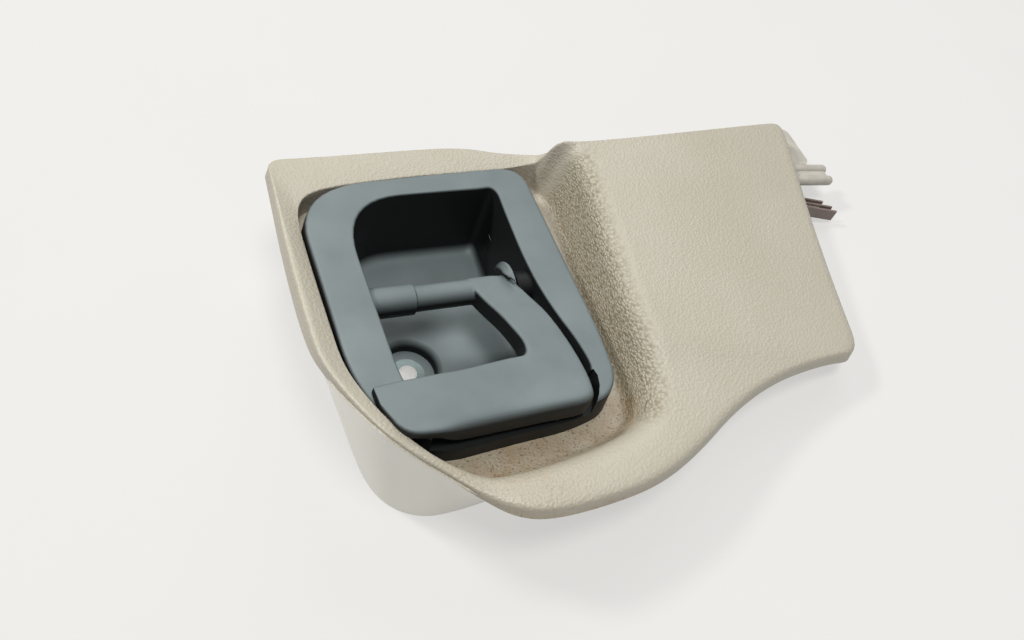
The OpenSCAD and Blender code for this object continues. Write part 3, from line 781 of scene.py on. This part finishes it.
panel_rings = smooth_ring([panel_front(s) for s in PANEL_STATIONS], PANEL_STEPS)
panel_points, panel_faces = skin([panel_loop(p) for p in panel_rings], True)
panel = new_mesh("trim_panel", panel_points, panel_faces)
loop_size = len(panel_points) // len(panel_rings)
dirt = panel.data.attributes.new("dirt", "FLOAT", "POINT")
wall = panel.data.attributes.new("wall", "FLOAT", "POINT")
for i, (x, y, z) in enumerate(panel_points):
    foot_x, foot_y = panel_rings[i // loop_size][1][:2]
    in_tray = fade(z, *DIRT_Z) * (DIRT_LEAST + (1 - DIRT_LEAST) * fade(y, *DIRT_FRONT_Y))
    # The rim is darkened towards its front left with the same dust colour and grit.
    on_rim = RIM_DARKER * fade(x, *RIM_DARKER_X) * fade(y, *RIM_DARKER_Y)
    upper_side = i % loop_size < loop_size // 2
    dirt.data[i].value = float(max(in_tray, on_rim) * upper_side)
    past_foot = math.hypot(x, y) - math.hypot(foot_x, foot_y)
    wall.data[i].value = float(fade(past_foot, *WALL_START) * fade(past_foot, *WALL_STOP)
                               * fade(foot_x, *WALL_X) * fade(foot_y, *WALL_Y))
grained_beige = beige_grained()
shade(panel, grained_beige)
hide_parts("kick_panel")
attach(panel, "panel_and_housing")

skirt_piece = skirt()
shade(skirt_piece, beige_smooth_painted_lit())
skirt_piece.data.materials.append(grained_beige)
for face in skirt_piece.data.polygons:
    face.material_index = int(face.normal.z > UPWARD)
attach(skirt_piece, "panel_and_housing")


# Handle housing.
def housing_front(s):
    """The bezel's upper line at a station, from its seat over the rim and down into the bowl."""
    rim, mouth = np.array(s[0:2], float), np.array(s[2:4], float)
    return np.array([
        raised(rim, SEAT_Z), raised(rim + toward(rim, mouth), 0), raised(mouth, 0),
        raised(mouth + toward(mouth, BOWL_CENTRE) * BOWL_DRAFT, -BOWL_DEPTH),
        raised(mouth + (BOWL_CENTRE - mouth) * BOWL_FLOOR_REACH, -BOWL_DEPTH)])


def housing_loop(p):
    """The housing's closed outline at a station, the hidden side first."""
    into = raised(toward(p[0][:2], p[2][:2]) * WALL_T, 0)
    in_bowl = raised(toward(p[3][:2], p[4][:2]) * WALL_T, 0)
    down = np.array([0, 0, WALL_T])
    back = [p[0] + into, p[1] + into - down, p[2] - into - down, p[3] - in_bowl - down, p[4] - down]
    return rounded(back, BEZEL_ROUNDS, ROUND_STEPS) + rounded(p, BEZEL_ROUNDS, ROUND_STEPS)[::-1]


housing_rings = smooth_ring([housing_front(s) for s in HOUSING_STATIONS], HOUSING_STEPS)
housing_loops = [housing_loop(p) for p in housing_rings]
housing = new_mesh("housing_bezel", *cup(housing_loops, len(housing_loops[0]) // 2 - 1))
(ledge_x0, ledge_x1), (ledge_y0, ledge_y1) = LEDGE_X, LEDGE_Y
notch = [(ledge_x0, ledge_y0), (ledge_x0, NOTCH_BACK_Y)] + RAIL_END + [(RAIL_END[-1][0], ledge_y0)]
cut(housing, "DIFFERENCE", [prism(notch, -LEDGE_DEPTH, CUT_THROUGH)])
ledge_low = -LEDGE_DEPTH - WALL_T
ledge = block((ledge_x0 - WALL_T, ledge_y0, ledge_low), (ledge_x1 + WALL_T, ledge_y1, -LEDGE_DEPTH))
rib = block((ledge_x0 - WALL_T, RIB_FRONT_Y, ledge_low), (ledge_x0, ledge_y1, RIB_TOP))
toe = prism(RAIL_END + TOE_CORNERS, ledge_low, TOE_TOP)
cut(ledge, "UNION", [rib, toe])
bezel_outline = [p[1][:2] for p in housing_rings]
cut(ledge, "INTERSECT", [prism(bezel_outline, -CUT_THROUGH, CUT_THROUGH)])
pocket_loops = [[(x, y, -BOWL_DEPTH + z) for x, y in circle(*SLEEVE_AT, POCKET_D + d)]
                for d, z in POCKET_STEPS]
pocket = new_mesh("tool", *skin(pocket_loops, False))
seat_low = -BOWL_DEPTH - POCKET_DEPTH - SLEEVE_LEN
right_boss_x0 = TUBE_X[1] + END_GAP
cut(housing, "UNION", [
    ledge,
    rod(BOSS_D, LEFT_BOSS_X0, TUBE_X[0] - END_GAP),
    rod(BOSS_D, right_boss_x0, RIGHT_BOSS_X1),
    post(POCKET_D + 2 * POCKET_WALL, SLEEVE_AT, seat_low, -BOWL_DEPTH - WALL_T / 2),
    block(*LUG),
    rod(PEG_D, *PEG_X, PEG_AT),
    *(post(POST_D, at, SEAT_Z, RAIL_POST_TOP if at[0] > HOLE[2] else POST_TOP) for at in SCREWS),
])
cut(housing, "DIFFERENCE", [
    rod(BUSH_D, LEFT_BOSS_X0 + BOSS_END_T, TUBE_X[0]),
    rod(BUSH_D, right_boss_x0 - CUT_PAST, RIGHT_BOSS_X1 + CUT_PAST),
    pocket,
    post(SLEEVE_D, SLEEVE_AT, seat_low - CUT_PAST, SLEEVE_CUT_TOP),
    prism(circle(*FERRULE), *FERRULE_CUT_Y, "y"),
])
# Painted shade: the housing's points under the grip and beside the flange get none of the lit
# slate.
painted_shade = housing.data.attributes.new("painted_shade", "FLOAT", "POINT")
in_handle = REST.inverted()
for i, vertex in enumerate(housing.data.vertices):
    x, y, z = in_handle @ (vertex.co / MM)
    under_grip = y < PAINTED_SHADE_FRONT_Y
    beside_flange = x > PAINTED_SHADE_SIDE_X and PAINTED_SHADE_SIDE_Y[0] < y < PAINTED_SHADE_SIDE_Y[1]
    at_height = PAINTED_SHADE_Z[0] < z < PAINTED_SHADE_Z[1]
    painted_shade.data[i].value = float(at_height and (under_grip or beside_flange))
slate = slate_painted_light_and_shade()
shade(housing, slate)
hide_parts("handle_housing")
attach(housing, "panel_and_housing")


# Pull lever.
def lever_row(s):
    """The arm's two upper corners at a station, then its top rounding and thickness."""
    x0, y0, x1, y1, top, thick, radius = s
    return np.array([[x0, y0, top], [x1, y1, top], [0, radius, thick]])


def lever_loop(p):
    """The arm's closed outline at a station."""
    (x0, y0, top), (x1, y1, _), (_, radius, thick) = p
    low = top - thick
    line = [np.array(c) for c in ((x0, y0, low), (x0, y0, top), (x1, y1, top), (x1, y1, low))]
    return rounded_loop(line, (*INNER_ROUNDS, radius, OUTER_LOW_ROUND), ROUND_STEPS)


lever_rows = smooth_path([lever_row(s) for s in LEVER_STATIONS], LEVER_STEPS)
lever = new_mesh("lever_grip", *skin([lever_loop(p) for p in lever_rows], False))
flange_loops = [[(x, y, z) for y, z in circle(*PIVOT, d)] for x, d in FLANGE]
flange = new_mesh("tool", *skin(flange_loops, False))
cut_flush(flange, *FLANGE_CUT)
cut(lever, "DIFFERENCE", [rod(BOSS_D + BOSS_CLEARANCE, TUBE_X[1], RIGHT_BOSS_X1)])
cut(lever, "UNION", [rod(TUBE_D, *TUBE_X), flange])
soften(lever, FILLET_VOXEL, FILLET_PASSES)
cut(lever, "DIFFERENCE", [rod(PIN_D, TUBE_X[0] - CUT_PAST, TUBE_X[1] + CUT_PAST)])
shade(lever, slate)
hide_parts("pull_lever")
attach(lever, "lever")


# Locating prong, wing and tongue at the panel's right end.
def turned(at, angle):
    return Matrix.Translation(at) @ Matrix.Rotation(math.radians(angle), 4, "Z")


def prong_rib(y):
    """A round rib along x with a domed tip."""
    tip = [PRONG_R * k for k in PRONG_TIP]
    steps = [(0, PRONG_R)] + [(PRONG_LEN + math.sqrt(PRONG_R ** 2 - r * r), r) for r in tip]
    return skin([[at_prong @ Vector((x, u, v)) for u, v in circle(y, 0, 2 * r, PRONG_SIDES)]
                 for x, r in steps], False)


def bar(place, x, y, z):
    """A straight bar of oblong section along x, set by a matrix."""
    corners = ((y[0], z[0]), (y[1], z[0]), (y[1], z[1]), (y[0], z[1]))
    return skin([[place @ Vector((end, *corner)) for corner in corners] for end in x], False)


at_prong = turned(PRONG_AT, PRONG_TURN)
prong = new_mesh("panel_prong", *prong_rib(0))
web = bar(at_prong, (0, PRONG_LEN), (0, PRONG_GAP), (-WEB_HALF_T, WEB_HALF_T))
cut(prong, "UNION", [new_mesh("tool", *prong_rib(PRONG_GAP)), new_mesh("tool", *web)])
wing = prism(rounded_rect(*WING), *WING_Z)
wing.name = "panel_wing"
tongue = new_mesh("clip_tongue", *bar(turned(CLIP_AT, CLIP_TURN), TONGUE_X, TONGUE_Y, TONGUE_Z))
moulded = plain("beige_moulded", MOULDED_BEIGE, 0.45)
for piece in (prong, wing, tongue):
    shade(piece, moulded)
    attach(piece, "panel_and_housing")

# Materials of the nodes that are shown as they come. Those not named are zinc-plated steel.
steel = metal("zinc_steel", (0.62, 0.62, 0.63), 0.3)
oiled = metal("oiled_steel", (0.30, 0.30, 0.31), 0.35)
acetal = plain("acetal", (0.75, 0.74, 0.70), 0.4)
rubber = plain("rubber", (0.03, 0.03, 0.03), 0.7)
finishes = {
    "pin_clip": oiled, "return_spring": oiled, "screw_sleeve": sleeve_painted_bore(),
    "left_bush": acetal, "right_bush": acetal, "left_bump_stop": rubber, "right_bump_stop": rubber,
    "panel_clip": plain("phosphated", (0.17, 0.13, 0.11), 0.4),
}
for name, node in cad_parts.items():
    if name in ("kick_panel", "handle_housing", "pull_lever"):
        continue
    for material_slot in node.material_slots:
        material_slot.material = finishes.get(name, steel)

# Floor, lights and camera.
floor_corners = [(x * FLOOR_HALF, y * FLOOR_HALF, 0)
                 for x, y in ((-1, -1), (1, -1), (1, 1), (-1, 1))]
floor = new_mesh("floor", floor_corners, [(0, 1, 2, 3)], rest=False)
paper = Nodes("pale_floor", (0.2, 0.2, 0.2), 0.9)
paper.colour(paper.ramp(paper.noise(60, 2), [(0.3, PAPER), (0.7, PAPER_LIGHT)]))
paper.bsdf.inputs["Emission Color"].default_value = FLOOR_GLOW
paper.bsdf.inputs["Emission Strength"].default_value = FLOOR_GLOW_STRENGTH
paper.bsdf.inputs["Specular IOR Level"].default_value = 0
shade(floor, paper.material)

world = bpy.data.worlds.new("studio")
world.use_nodes = True
world.node_tree.nodes["Background"].inputs["Color"].default_value = (1, 1, 1, 1)
world.node_tree.nodes["Background"].inputs["Strength"].default_value = SKY_STRENGTH
bpy.context.scene.world = world
bpy.context.scene.view_settings.view_transform = "Standard"

for name, place, size, power in LIGHTS:
    data = bpy.data.lights.new(name, "AREA")
    data.shape = "DISK"
    data.size = size
    data.energy = power
    light = bpy.data.objects.new(name, data)
    light.location = place
    aim = Vector(LIGHT_AIM) - Vector(place)
    light.rotation_euler = aim.to_track_quat("-Z", "Y").to_euler()
    bpy.context.scene.collection.objects.link(light)

camera = bpy.data.objects.new("camera", bpy.data.cameras.new("camera"))
camera.data.sensor_width = SENSOR_WIDTH
camera.data.lens = LENS
right, up = Vector(CAMERA_RIGHT), Vector(CAMERA_UP)
turn = Matrix((right, up, right.cross(up))).transposed().to_4x4()
camera.matrix_world = Matrix.Translation(CAMERA_AT) @ turn
bpy.context.scene.collection.objects.link(camera)
bpy.context.scene.camera = camera
